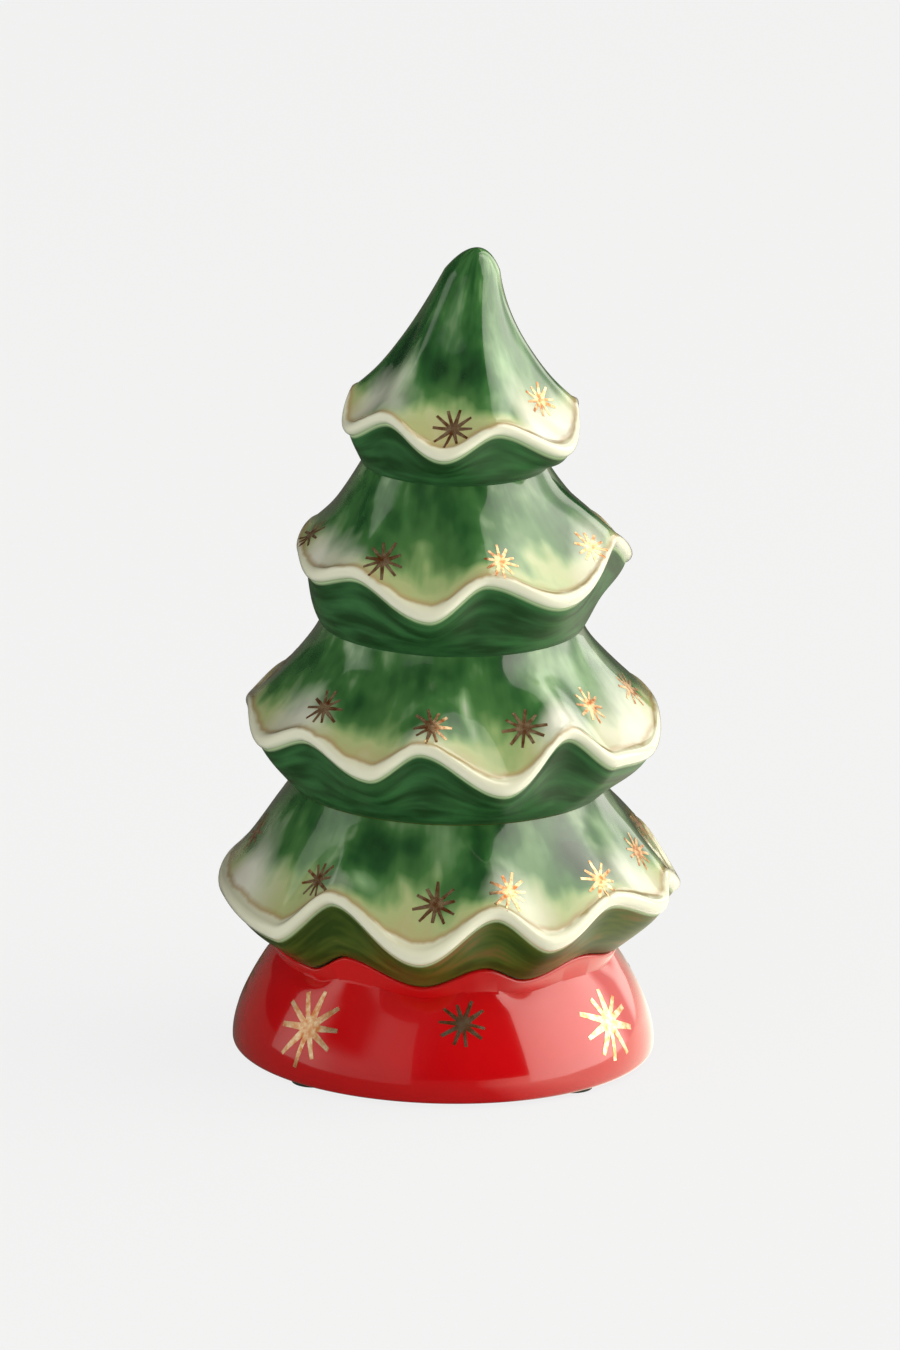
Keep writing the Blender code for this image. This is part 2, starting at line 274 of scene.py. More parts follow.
def glowing_panel(name, low, high, levels, colour, dimming):
    """A soft light on a sphere round the figurine, between two elevations.

    The levels are its brightness by azimuth. The dimming is a share, the elevations
    between which it sets in, and the azimuths between which it holds, all in degrees.
    """
    panel = bmesh.new()
    glow_layer = panel.verts.layers.float.new("glow")
    arch = []
    for step in range(ARCH_STEPS + 1):
        elevation = math.radians(low + (high - low) * step / ARCH_STEPS)
        spot = Vector((0, -math.cos(elevation), math.sin(elevation))) * PANEL_DISTANCE
        arch.append(panel.verts.new(spot + OBJECT_MIDDLE))
    first, last = levels[0][0], levels[-1][0]
    to_first = Matrix.Rotation(math.radians(first), 3, "Z")
    bmesh.ops.rotate(panel, verts=panel.verts, cent=(0, 0, 0), matrix=to_first)
    spin_line(panel, arch, math.radians(last - first), PANEL_STEPS)
    share, dim_low, dim_high, dim_first, dim_last = dimming
    for vertex in panel.verts:
        bearing = math.degrees(math.atan2(vertex.co.x, -vertex.co.y))
        height = math.degrees(math.asin((vertex.co - OBJECT_MIDDLE).z / PANEL_DISTANCE))
        beside = ease(dim_first - DIM_EDGE, dim_first + DIM_EDGE, bearing)
        beside *= 1 - ease(dim_last - DIM_EDGE, dim_last + DIM_EDGE, bearing)
        dimmed = share * ease(dim_low, dim_high, height) * beside
        vertex[glow_layer] = level_at(levels, bearing) * (1 - dimmed)
    mesh = bpy.data.meshes.new(name)
    panel.to_mesh(mesh)
    panel.free()
    cloth, nodes = new_material(name + "_cloth")
    brightness = add(nodes, "ShaderNodeAttribute", attribute_name="glow", out=2)
    glow = add(nodes, "ShaderNodeEmission", {"Color": colour, "Strength": brightness})
    add(nodes, "ShaderNodeOutputMaterial", {"Surface": glow})
    mesh.materials.append(cloth)
    softbox = bpy.data.objects.new(name, mesh)
    bpy.context.scene.collection.objects.link(softbox)
    softbox.visible_camera = False


def fill(name, azimuth, elevation, distance, size, radiance):
    """A square soft light that faces the figurine and isn't mirrored in it."""
    around, up = math.radians(azimuth), math.radians(elevation)
    flat = Vector((math.sin(around), -math.cos(around), 0)) * math.cos(up)
    towards = flat + Vector((0, 0, math.sin(up)))
    light = bpy.data.lights.new(name, "AREA")
    light.size = size
    light.energy = radiance * size**2 * WATTS_PER_RADIANCE
    lamp = bpy.data.objects.new(name, light)
    lamp.location = OBJECT_MIDDLE + towards * distance
    lamp.rotation_euler = towards.to_track_quat("Z", "Y").to_euler()
    lamp.visible_camera = False
    lamp.visible_glossy = False
    bpy.context.scene.collection.objects.link(lamp)


WINDOW_LEVELS = (
    (48, 2.0), (60, 2.5), (75, 3.0), (90, 3.2), (105, 3.3), (117, 3.0), (122, 1.1), (133, 0.9),
    (138, 2.1), (150, 1.5),
)
glowing_panel(
    "window_softbox", -2, 76, WINDOW_LEVELS, colour="#fffcf0", dimming=(0.45, 36, 60, 30, 93)
)
LEFT_LEVELS = ((-106, 0.5), (-94, 0.8), (-76, 0.75), (-58, 0.36), (-17, 0.26))
glowing_panel(
    "left_panel", -1, 40, LEFT_LEVELS, colour="#fdfff4", dimming=(0.95, 12, 22, -77, -45)
)
fill("overhead_fill", azimuth=0, elevation=80, distance=1.4, size=1.8, radiance=0.5)
fill("front_fill", azimuth=-35, elevation=28, distance=1.8, size=1.6, radiance=1.35)

world = bpy.data.worlds.new("dark_studio")
bpy.context.scene.world = world
world.use_nodes = True
world.node_tree.nodes["Background"].inputs["Color"].default_value = linear("#282828")
world.node_tree.nodes["Background"].inputs["Strength"].default_value = 1.0
bpy.context.scene.view_settings.view_transform = "Standard"

# %% [markdown]
# ## The shape of the tree
# A slip casting is poured in a plaster mould, and this one was modelled by hand first:
# a bell for each tier, with its hem pulled down into lobes and pushed up into crests.
# Modelling every fold by hand would be slow, so the tier outlines are turned once and
# the turned shape is then draped: each point near a hem sinks under a lobe and rises
# under a crest. The sizes are the casting's own, in millimetres.

# %% Sizes of the tiers
WALL = 3.2
SKIRT_SLOPE = 40
SLOPED_WALL = WALL / math.cos(math.radians(SKIRT_SLOPE))
# The felt and its adhesive lift the foot off the table by this much.
LAND_Z = 0.8
PLINTH_NECK_HEIGHT = 18.8
PLINTH_NECK_Z = LAND_Z + PLINTH_NECK_HEIGHT
LIP_HEIGHT = 3.4
SEAT_Z = PLINTH_NECK_Z + LIP_HEIGHT
BOSS_HEIGHT = 5
BOSS_TOP_Z = SEAT_Z + BOSS_HEIGHT
SEAT_GAP = 0.3
RIM_Z = SEAT_Z + SEAT_GAP
RIM_RADIUS = 33.1
RIM_WIDTH = 4.2
MOUTH_RADIUS = RIM_RADIUS - RIM_WIDTH
HEM_ROUND = 1.6
HEM_TURN = 75
COVE_DEPTH = 2 / 3
# How far a full lobe hangs, how far it flares, and how much of it the seam follows.
FOLD_DEPTH = 4.0
FLARE_SHARE = 0.45
SEAM_SHARE = 0.46
TIP_LEAN = 3.2
TIP_HEIGHT = 4.2
TIP_BLUNTNESS = 2.6
TIP_WALL = 13


class Tier:
    """One tier, from its neck up: underside, hem and skirt, and how its hem is folded.

    The bend is the skirt's, as a radius and a height over the hem. The shift is to the
    right, and the snow is the width of the white band. The folds go by bearing: above 0
    a lobe hangs down there, below 0 a crest rises.
    """

    def __init__(
        self, below, under, hem_radius, hem, skirt, top_radius, bend, shift, snow, folds
    ):
        self.neck_z = below.top_z if below else RIM_Z
        self.neck_radius = below.top_radius if below else RIM_RADIUS
        self.hem_radius = hem_radius
        self.hem_low_z = self.neck_z + under
        self.hem_top_z = self.hem_low_z + hem
        self.top_z = self.hem_top_z + skirt
        self.top_radius = top_radius
        self.bend = (bend[0], self.hem_top_z + bend[1])
        self.shift = shift
        self.snow = snow
        self.folds = folds


lowest = Tier(
    below=None, under=8.8, hem_radius=41.6, hem=3.4, skirt=15.4,
    top_radius=28.7, bend=(30.6, 12.2), shift=0.5, snow=4.3,
    folds=(
        (-48, 0.98), (-33, -1.10), (-7, 1.00), (13, -0.93), (27, 0.57), (49, -0.75),
        (71, 0.38), (81, -0.38), (99, 0.78), (118, -1.15), (137, 0.90), (156, -0.80),
        (175, 0.75), (194, -0.93), (212, 0.85), (231, -0.78), (252, 0.23), (280, 0.53),
    ),
)
lower = Tier(
    below=lowest, under=11.9, hem_radius=38.2, hem=3.2, skirt=15.4,
    top_radius=24.1, bend=(25.7, 10.7), shift=0.4, snow=3.8,
    folds=(
        (-65, 0.45), (-47, -0.53), (-23, 0.53), (-9, -0.78), (15, 0.95), (37, -1.13),
        (52, 0.50), (68, 0.70), (97, -0.23), (117, -0.50), (138, 0.73), (158, -0.63),
        (178, 0.68), (198, -0.73), (218, 0.63), (237, -0.60), (256, 0.10), (275, -0.30),
    ),
)
upper = Tier(
    below=lower, under=11.9, hem_radius=30.8, hem=3.2, skirt=15.1,
    top_radius=17.0, bend=(22.1, 6.3), shift=1.8, snow=3.5,
    folds=(
        (-64, 0.30), (-42, -0.38), (-11, 0.95), (9, -0.65), (37, 0.57), (76, -1.10),
        (106, 0.55), (127, -0.60), (148, 0.70), (169, -0.63), (190, 0.65), (211, -0.68),
        (231, 0.60), (251, -0.55), (276, -0.15),
    ),
)
highest = Tier(
    below=upper, under=8.5, hem_radius=21.8, hem=2.9, skirt=24.8,
    top_radius=5.1, bend=(10.6, 8.1), shift=1.1, snow=3.2,
    folds=(
        (-71, 0.50), (-43, -0.55), (-9, 0.70), (19, -0.40), (57, 0.98), (90, -0.40),
        (119, 0.50), (147, -0.57), (176, 0.60), (204, -0.53), (232, 0.57), (260, -0.62),
    ),
)
TIERS = (lowest, lower, upper, highest)
TIP_Z = highest.top_z + TIP_HEIGHT
print("tier tops at", [round(tier.top_z, 1) for tier in TIERS], "tip at", round(TIP_Z, 1))

# %% [markdown]
# ## Outlines
# Two small functions draw an outline: a smooth bend and an arc. Each row of an outline
# also remembers how far along the surface it lies from its hem's lower edge, because
# the paint follows the hem and not the height.


# %% Outline helpers
def curve(start, bend, end, steps):
    """Points along a smooth bend, without its start."""
    points = []
    for step in range(1, steps + 1):
        t = step / steps
        points.append(
            tuple(
                (1 - t) ** 2 * a + 2 * t * (1 - t) * b + t**2 * c
                for a, b, c in zip(start, bend, end)
            )
        )
    return points


def arc(centre, size, first, last, steps):
    """Points of an elliptical arc, both ends included."""
    points = []
    for step in range(steps + 1):
        angle = math.radians(first + (last - first) * step / steps)
        points.append(
            (centre[0] + size[0] * math.cos(angle), centre[1] + size[1] * math.sin(angle))
        )
    return points


class Row:
    """One ring of the turned shape: its radius, height, tier, and the paint's measures."""

    def __init__(self, point, tier=0, hem_mm=0.0, under=0.0, bare=False):
        self.radius, self.z = point
        self.tier = tier
        self.hem_mm = hem_mm
        self.under = under
        self.bare = bare
        self.slant = (0.0, 0.0)


def measure_rows(rows):
    """Gives each row the outward direction of the outline there, for the glaze's thickness."""
    for number, row in enumerate(rows):
        before = rows[max(number - 1, 0)]
        after = rows[min(number + 1, len(rows) - 1)]
        along = Vector((after.radius - before.radius, after.z - before.z))
        if along.length > 0:
            along.normalize()
        row.slant = (-along.y, along.x)


SKIRT_ROWS = 28
HEM_ROWS = 12
UNDER_ROWS = 14
TIP_ROWS = 12
HOLLOW_ROWS = 10


def tree_rows():
    """Rows from the tip down the glazed outside, across the rim and up the hollow."""
    outside = [(0, TIP_Z)]
    shoulder = (highest.top_radius, highest.top_z)
    outside += curve(outside[0], (TIP_BLUNTNESS, TIP_Z), shoulder, TIP_ROWS)
    skirt = [Row(point, 3, 0, 0) for point in outside]
    rows = []
    for number in (3, 2, 1, 0):
        tier = TIERS[number]
        middle_z = (tier.hem_low_z + tier.hem_top_z) / 2
        size = (HEM_ROUND, (tier.hem_top_z - tier.hem_low_z) / 2)
        centre = (tier.hem_radius - HEM_ROUND, middle_z)
        hem = arc(centre, size, HEM_TURN, -HEM_TURN, HEM_ROWS)
        start = (skirt[-1].radius, skirt[-1].z)
        points = curve(start, tier.bend, hem[0], SKIRT_ROWS) + hem[1:]
        skirt += [Row(point, number) for point in points]
        walked = 0.0
        for row, next_row in zip(reversed(skirt), reversed(skirt[:-1])):
            row.hem_mm = walked
            walked += math.hypot(next_row.radius - row.radius, next_row.z - row.z)
        skirt[0].hem_mm = walked
        rows += skirt
        cove_z = hem[-1][1] + (tier.neck_z - hem[-1][1]) * COVE_DEPTH
        bend = ((tier.neck_radius + hem[-1][0]) / 2, cove_z)
        walked = 0.0
        last = hem[-1]
        for point in curve(last, bend, (tier.neck_radius, tier.neck_z), UNDER_ROWS):
            walked += math.dist(last, point)
            rows.append(Row(point, number, walked, 1.0))
            last = point
        skirt = [Row(last, number - 1)]
        if number > 0:
            rows.pop()
    rows.append(Row((MOUTH_RADIUS, RIM_Z), 0, 0, 1, bare=True))
    for number, tier in enumerate(TIERS):
        hem = (tier.hem_radius - SLOPED_WALL, (tier.hem_low_z + tier.hem_top_z) / 2)
        top = (tier.top_radius - WALL, tier.top_z)
        if tier is highest:
            top = (0, TIP_Z - TIP_WALL)
        bend = (tier.bend[0] - SLOPED_WALL, tier.bend[1])
        points = [hem] + curve(hem, bend, top, HOLLOW_ROWS)
        rows += [Row(point, number, 0, 1, bare=True) for point in points]
    measure_rows(rows)
    return rows


tree_outline = tree_rows()
print("tree outline", len(tree_outline), "rows")


# %% [markdown]
# ## Turning and draping
# The outline's vertices are spun round the axis with a merge, and a whole-number layer
# on the vertices tells which row each one came from. The drape then moves every vertex
# and writes what the paint needs as layers, which become attributes of the mesh.


# %% Turn and drape
ROUND_STEPS = 288
SHARP_ABOVE = 50

# The snow is thicker than the paint above it by this step, which rises and fades out
# between these heights over the snow. A lobe's snow is wider, and so is its washed zone.
GLAZE_STEP = 0.18
STEP_RISE = (-0.3, 0.5)
STEP_FADE = (5, 14)
SNOW_GROWTH = 0.06
WASH_ON_CREST = 2.6
WASH_MORE_ON_LOBE = 7.4

# The brush pattern's own space: narrower than the tier, with a new place for each tier.
BRUSH_SPREAD = 0.8
BRUSH_TIER_GAP = 40

# Single brush touches: tier from 0 for the lowest, bearing, height over the hem, half
# width in degrees, half height, and how much lighter (above 0) or darker (below 0) the
# paint is there. Some are the paint's own patches, and some are painted light: the bright
# thin line down a fold of the second tier from the bottom is a painted highlight, the thin
# dark lines on the lowest tier are painted crease shade, and the lighter touches on the
# right flanks are partly painted reflection of the window. The second list whitens places
# towards the snow's white slip, in the same measures. On the right flanks this is painted
# reflection of the window, and elsewhere it makes the low lobes paler.
TOUCHES_AND_PAINTED_LIGHT = (
    (0, -24, 18, 9, 5, -1.2), (0, 1, 20, 7, 5, 1.1), (0, 10, 16, 2.2, 8, -0.8),
    (0, 45, 15, 4.5, 7, -1.9), (0, 28, 17, 8, 9, 1.1), (0, -44, 17, 10, 6, 1.0),
    (0, 63, 15, 9, 9, 0.8), (0, -70, 10, 10, 5, 1.0), (0, -8, 24, 14, 3, 1.6),
    (1, -26, 17, 8, 5, -0.3), (1, 20, 17, 9, 7, -0.5),
    (1, 5, 15, 1.7, 3, 3.4), (1, 7.4, 11, 1.7, 3, 4.0), (1, 8.6, 7, 1.7, 3, 3.4),
    (1, 40, 18, 9, 9, 1.6), (1, 62, 15, 10, 9, 1.7), (1, -12, 24, 16, 3, 1.0),
    (2, -40, 14, 5, 7, 0.5), (2, -2, 19, 18, 6, -0.4), (2, 37, 16, 10, 9, 0.7),
    (2, 58, 12, 9, 7, -0.1), (2, -68, 7, 10, 4, 1.0), (3, -6, 17, 20, 8, -1.1),
    (3, -55, 20, 22, 7, -0.8), (3, 40, 22, 14, 16, 1.4), (3, 64, 13, 14, 9, 0.4),
    (3, 0, 31, 30, 4, 0.4), (3, 52, 38, 28, 8, 1.1), (3, 20, 9, 8, 4, 1.8),
    (3, -52, 10, 15, 6, 2.4), (2, -52, 8, 9, 4, 1.8), (2, -66, 12, 10, 6, 1.6),
    (2, 10, 9, 8, 4, 1.5), (1, -58, 12, 7, 6, 2.2), (0, -24, 9, 8, 4, 2.4),
)
FROST_AND_PAINTED_REFLECTION = (
    (3, 62, 5, 20, 6, 0.9), (3, -41, 5, 9, 3, 0.5), (3, -74, 11, 12, 5, 0.7),
    (2, 60, 6, 14, 5, 0.8), (2, -46, 5, 8, 3, 0.5), (2, -70, 6, 9, 4, 0.5),
    (1, 72, 8, 12, 7, 0.9), (1, 40, 6, 7, 5, 0.6), (1, -9, 5, 8, 2.5, 0.6),
    (1, -48, 5, 7, 3, 0.5), (1, 33, 5, 7, 4, 0.9), (0, 20, 8, 9, 5, 0.8),
    (0, 62, 8, 12, 6, 0.9), (0, -72, 9, 8, 6, 0.9), (0, -33, 6, 6, 3, 0.4),
    (3, -52, 10, 15, 6, 0.5), (2, -58, 9, 13, 6, 0.4), (1, -58, 10, 9, 6, 0.5),
    (0, -62, 9, 8, 6, 0.3), (3, 52, 8, 16, 6, 0.5), (1, 56, 8, 9, 6, 0.6),
    (3, 45, 7, 12, 6, 0.6), (3, -60, 7, 14, 4, 0.5), (2, -64, 5, 12, 4, 0.5),
    (1, -55, 7, 12, 4, 0.5), (0, -68, 6, 14, 4, 0.5),
)


def turn(rows):
    """Spins an outline into a closed shape whose vertices remember their row."""
    shape = bmesh.new()
    row_layer = shape.verts.layers.int.new("row")
    line = [shape.verts.new((0, -row.radius * MM, row.z * MM)) for row in rows]
    for number, vertex in enumerate(line):
        vertex[row_layer] = number
    spin_line(shape, line, math.tau, ROUND_STEPS, use_merge=True)
    bmesh.ops.remove_doubles(shape, verts=shape.verts, dist=0.001 * MM)
    for face in shape.faces:
        if all(rows[vertex[row_layer]].bare for vertex in face.verts):
            face.material_index = 1
        elif any(rows[vertex[row_layer]].under for vertex in face.verts):
            face.material_index = 2
    return shape, row_layer


def hang_at(folds, bearing):
    """How far a hem hangs at a bearing, easing from each lobe to the crest beside it."""
    first = folds[0][0]
    turned_by = (bearing - first) % 360
    knots = [((at - first) % 360, share) for at, share in folds] + [(360, folds[0][1])]
    for (start, before), (end, after) in zip(knots, knots[1:]):
        if turned_by <= end:
            return FOLD_DEPTH * (before + (after - before) * ease(start, end, turned_by))
    return FOLD_DEPTH * folds[0][1]


def lean(z):
    """How far the highest tier leans to the right above its hem."""
    return TIP_LEAN * max((z - highest.hem_top_z) / (TIP_Z - highest.hem_top_z), 0) ** 2


def touch_at(touches, row, bearing):
    """How strong the given touches, of paint and of painted light, are together at a place."""
    total = 0
    for tier, at, height, half_width, half_height, amount in touches:
        if tier == row.tier and not row.under:
            across = (bearing - at) / half_width
            along = (row.hem_mm - height) / half_height
            total += amount * math.exp(-(across**2) - along**2)
    return total


def drape_tree(shape, row_layer, rows):
    """Folds the hems, shifts them, leans the tip, and writes the paint's layers."""
    layers = {
        name: shape.verts.layers.float.new(name)
        for name in ("hem_mm", "above_snow", "zone_mm", "tier", "touch", "frost_and_reflection")
    }
    brush = shape.verts.layers.float_vector.new("brush")
    for vertex in shape.verts:
        row = rows[vertex[row_layer]]
        tier = TIERS[row.tier]
        bearing = math.degrees(math.atan2(vertex.co.x, -vertex.co.y))
        hang = hang_at(tier.folds, bearing)
        above = 1 - ease(tier.hem_top_z, tier.top_z, row.z)
        below = ease(tier.neck_z, tier.hem_low_z, row.z)
        near_hem = min(above, below)
        radius = row.radius * (1 + FLARE_SHARE * hang * near_hem / tier.hem_radius)
        shift = tier.shift * near_hem + lean(row.z)
        fall = near_hem
        if tier is lowest:
            fall = min(above, SEAM_SHARE + (1 - SEAM_SHARE) * below)
        z = row.z - hang * fall
        snow = tier.snow * (1 + SNOW_GROWTH * hang)
        above_snow = row.hem_mm - snow
        if not row.bare and not row.under:
            sink = GLAZE_STEP * ease(*STEP_RISE, above_snow) * (1 - ease(*STEP_FADE, above_snow))
            radius -= sink * row.slant[0]
            z -= sink * row.slant[1]
        angle = math.radians(bearing)
        vertex.co = (
            (radius * math.sin(angle) + shift) * MM,
            -radius * math.cos(angle) * MM,
            z * MM,
        )
        vertex[layers["hem_mm"]] = row.hem_mm
        vertex[layers["above_snow"]] = above_snow
        lobe = ease(-1, 1, hang / FOLD_DEPTH)
        vertex[layers["zone_mm"]] = WASH_ON_CREST + WASH_MORE_ON_LOBE * lobe
        vertex[layers["tier"]] = row.tier
        # These two layers carry painted highlights, crease shade and painted reflection along
        # with the paint's own patches and slip.
        vertex[layers["touch"]] = touch_at(TOUCHES_AND_PAINTED_LIGHT, row, bearing)
        vertex[layers["frost_and_reflection"]] = touch_at(FROST_AND_PAINTED_REFLECTION, row, bearing)
        around = BRUSH_SPREAD * tier.hem_radius
        vertex[brush] = (
            around * math.sin(angle),
            -around * math.cos(angle),
            row.hem_mm + BRUSH_TIER_GAP * row.tier,
        )
    bmesh.ops.recalc_face_normals(shape, faces=shape.faces)


def finish_piece(name, shape, body, nodes):
    """Makes a finished bmesh an object that rides on a body and stands for CAD nodes."""
    for face in shape.faces:
        face.smooth = True
    mesh = bpy.data.meshes.new(name)
    shape.to_mesh(mesh)
    shape.free()
    mesh.set_sharp_from_angle(angle=math.radians(SHARP_ABOVE))
    piece = bpy.data.objects.new(name, mesh)
    bpy.context.scene.collection.objects.link(piece)
    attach(piece, body)
    if nodes:
        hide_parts(*nodes)
    corners = [Vector(corner) for corner in piece.bound_box]
    low = [min(corner[axis] for corner in corners) for axis in range(3)]
    high = [max(corner[axis] for corner in corners) for axis in range(3)]
    triangles = sum(len(face.vertices) - 2 for face in mesh.polygons)
    print(name, triangles, "triangles, mm", in_mm((low, high)))
    return piece


tree_shape, tree_layer = turn(tree_outline)
drape_tree(tree_shape, tree_layer, tree_outline)
tree_piece = finish_piece("tree_painted", tree_shape, "tree", ["tree_casting"])

# %% [markdown]
# ## The plinth
# The plinth is turned in the same way: a boss and a seat that carry the tree, a flared
# wall, a rounded foot and a hollow with its pour hole. Only the seat waves, in step
# with the tree's rim, so that the joint between the two stays a hairline.

# %% Plinth
FOOT_RADIUS = 38.8
FOOT_EDGE = 1.0
LAND_WIDTH = 9.0
FOOT_RECESS = 0.8
POUR_HOLE_RADIUS = 12.0
NECK_RADIUS = 31.4
FLARE_BEND = (39.1, LAND_Z + 7.3)
LIP_INSET = 0.5
LIP_ROUND = 0.6
BOSS_PLAY = 0.5
BOSS_RADIUS = MOUTH_RADIUS - BOSS_PLAY
BOSS_CHAMFER = 1.0
LIP_ROWS = 6
FLARE_ROWS = 40
FOOT_ROWS = 8
INNER_FLARE_ROWS = 12


def plinth_rows():
    """Rows over the boss and seat, down the flare, round the foot and up the hollow."""
    lip_radius = RIM_RADIUS - LIP_INSET
    recess_z = LAND_Z + FOOT_RECESS
    floor_z = recess_z + WALL
    land_inner = FOOT_RADIUS - FOOT_EDGE - LAND_WIDTH
    top = [
        (0, BOSS_TOP_Z),
        (BOSS_RADIUS - BOSS_CHAMFER, BOSS_TOP_Z),
        (BOSS_RADIUS, BOSS_TOP_Z - BOSS_CHAMFER),
        (BOSS_RADIUS, SEAT_Z),
        (lip_radius - LIP_ROUND, SEAT_Z),
    ]
    lip_centre = (lip_radius - LIP_ROUND, SEAT_Z - LIP_ROUND)
    lip = arc(lip_centre, (LIP_ROUND, LIP_ROUND), 90, -30, LIP_ROWS)
    neck = (NECK_RADIUS, PLINTH_NECK_Z)
    glazed = lip[1:] + [neck]
    glazed += curve(neck, FLARE_BEND, (FOOT_RADIUS, LAND_Z + FOOT_EDGE), FLARE_ROWS)
    foot_centre = (FOOT_RADIUS - FOOT_EDGE, LAND_Z + FOOT_EDGE)
    glazed += arc(foot_centre, (FOOT_EDGE, FOOT_EDGE), 0, -90, FOOT_ROWS)[1:]
    side = (FOOT_RADIUS - WALL, floor_z + FOOT_EDGE)
    hollow = [
        (land_inner, LAND_Z),
        (land_inner - FOOT_RECESS, recess_z),
        (POUR_HOLE_RADIUS, recess_z),
        (POUR_HOLE_RADIUS, floor_z),
        (side[0] - FOOT_EDGE, floor_z),
        side,
    ]
    inner_bend = (FLARE_BEND[0] - WALL, FLARE_BEND[1] + WALL)
    hollow += curve(side, inner_bend, (NECK_RADIUS - WALL, PLINTH_NECK_Z), INNER_FLARE_ROWS)
    ceiling = BOSS_RADIUS - WALL
    hollow += [(ceiling, SEAT_Z), (ceiling, BOSS_TOP_Z - WALL), (0, BOSS_TOP_Z - WALL)]
    rows = [Row(point, bare=True) for point in top]
    rows += [Row(point) for point in glazed]
    rows += [Row(point, bare=True) for point in hollow]
    measure_rows(rows)
    return rows


def drape_plinth(shape):
    """Waves the seat in step with the tree's rim."""
    for vertex in shape.verts:
        z = vertex.co.z / MM
        bearing = math.degrees(math.atan2(vertex.co.x, -vertex.co.y))
        up = ease(PLINTH_NECK_Z - LIP_HEIGHT, SEAT_Z, z)
        down = 1 - ease(SEAT_Z, BOSS_TOP_Z - BOSS_CHAMFER, z)
        vertex.co.z -= SEAM_SHARE * min(up, down) * hang_at(lowest.folds, bearing) * MM
    bmesh.ops.recalc_face_normals(shape, faces=shape.faces)


plinth_shape, _ = turn(plinth_rows())
drape_plinth(plinth_shape)
plinth_piece = finish_piece(
    "plinth_glazed", plinth_shape, "plinth", ["plinth_casting"]
)

# %% [markdown]
# ## Felt pads
# Four round pads of pressed felt are stuck under the foot. Each is a disc whose edge is
# bevelled a little, because punched felt bulges and frays at its rim.

# %% Pads
PAD_NUMBERS = (1, 2, 3, 4)
PAD_SIDES = 48
PAD_BEVEL = 0.12

for number in PAD_NUMBERS:
    node = f"foot_pad_{number}"
    low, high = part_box(node)
    middle = (low + high) / 2
    disc = bmesh.new()
    bmesh.ops.create_cone(
        disc,
        cap_ends=True,
        segments=PAD_SIDES,
        radius1=(high.x - low.x) / 2,
        radius2=(high.x - low.x) / 2,
        depth=high.z - low.z,
        matrix=Matrix.Translation(middle),
    )
    # Only the two rims turn by more than a radian from one face to the next.
    rim_edges = [edge for edge in disc.edges if edge.calc_face_angle(0) > 1]
    bmesh.ops.bevel(
        disc,
        geom=rim_edges,
        affect="EDGES",
        offset=PAD_BEVEL * MM,
        offset_type="OFFSET",
        segments=3,
        profile=0.5,
        material=-1,
    )
    finish_piece(f"felt_pad_{number}", disc, "plinth", [node])

# %% [markdown]
# ## Gold stars
# The stars are gold lustre: a thin metal film that is stamped or brushed on the fired
# glaze and fired again. Painting them in the glaze's own material would blur their
# edges, so each is a thin piece of its own. A circle's rim is pulled into rays, cut
# finer, and every vertex is dropped onto the casting below it.

# %% Star helper
FILM_LIFT = 0.05
FILM_THICKNESS = 0.04
STAR_CUTS = 4
STAR_LEAN = 12
RAY_SWERVE = 5
# Shares of the star's radius.
RAY_LENGTH = (0.78, 1.04)
RAY_TIP = (0.05, 0.07)
RAY_VALLEY = (0.26, 0.32)
# Where the rays that look for the glaze start, and the deepest drop that still counts.
FAR_OUTSIDE = 80
JUST_OUTSIDE = 20
DEEPEST_DROP = 3


def add_star(shape, ground, bearing, z, size, seed, rays=10):
    """Adds one star of gold film, a few hundredths of a millimetre proud of the glaze."""
    rng = random.Random(seed)
    angle = math.radians(bearing)
    outward = Vector((math.sin(angle), -math.cos(angle), 0))
    start = Vector((0, 0, z * MM)) + outward * FAR_OUTSIDE * MM
    spot, normal, _, _ = ground.ray_cast(start, -outward)
    across = Vector((0, 0, 1)).cross(normal).normalized()
    upward = normal.cross(across)
    made = bmesh.ops.create_circle(
        shape, cap_ends=True, cap_tris=True, segments=3 * rays, radius=MM
    )
    rim = sorted(
        (vertex for vertex in made["verts"] if vertex.co.length > 0.1 * MM),
        key=lambda vertex: math.atan2(vertex.co.y, vertex.co.x) % math.tau,
    )
    lean_of_star = rng.uniform(-STAR_LEAN, STAR_LEAN)
    for ray in range(rays):
        swerve = rng.uniform(-RAY_SWERVE, RAY_SWERVE)
        middle = 90 + lean_of_star + 360 * ray / rays + swerve
        length = size / 2 * rng.uniform(*RAY_LENGTH)
        tip = rng.uniform(*RAY_TIP) * size / 2
        valley = size / 2 * rng.uniform(*RAY_VALLEY)
        for side, vertex in zip((-1, 1), (rim[3 * ray], rim[3 * ray + 1])):
            turn_by = math.radians(middle) + side * tip / length
            vertex.co = Vector((math.cos(turn_by), math.sin(turn_by), 0)) * length * MM
        turn_by = math.radians(middle + 180 / rays)
        rim[3 * ray + 2].co = Vector((math.cos(turn_by), math.sin(turn_by), 0)) * valley * MM
    # Keys of a dict keep their order, so the film comes out the same in each run.
    faces = dict.fromkeys(face for vertex in made["verts"] for face in vertex.link_faces)
    edges = dict.fromkeys(edge for face in faces for edge in face.edges)
    cut = bmesh.ops.subdivide_edges(
        shape, edges=list(edges), cuts=STAR_CUTS, use_grid_fill=True
    )
    faces = [*faces, *(item for item in cut["geom"] if isinstance(item, bmesh.types.BMFace))]
    for vertex in dict.fromkeys(v for face in faces if face.is_valid for v in face.verts):
        flat = spot + across * vertex.co.x + upward * vertex.co.y
        hit, hit_normal, _, _ = ground.ray_cast(flat + normal * JUST_OUTSIDE * MM, -normal)
        if hit is None or (hit - flat).length > DEEPEST_DROP * MM:
            hit, hit_normal, _, _ = ground.find_nearest(flat)
        vertex.co = hit + hit_normal * FILM_LIFT * MM


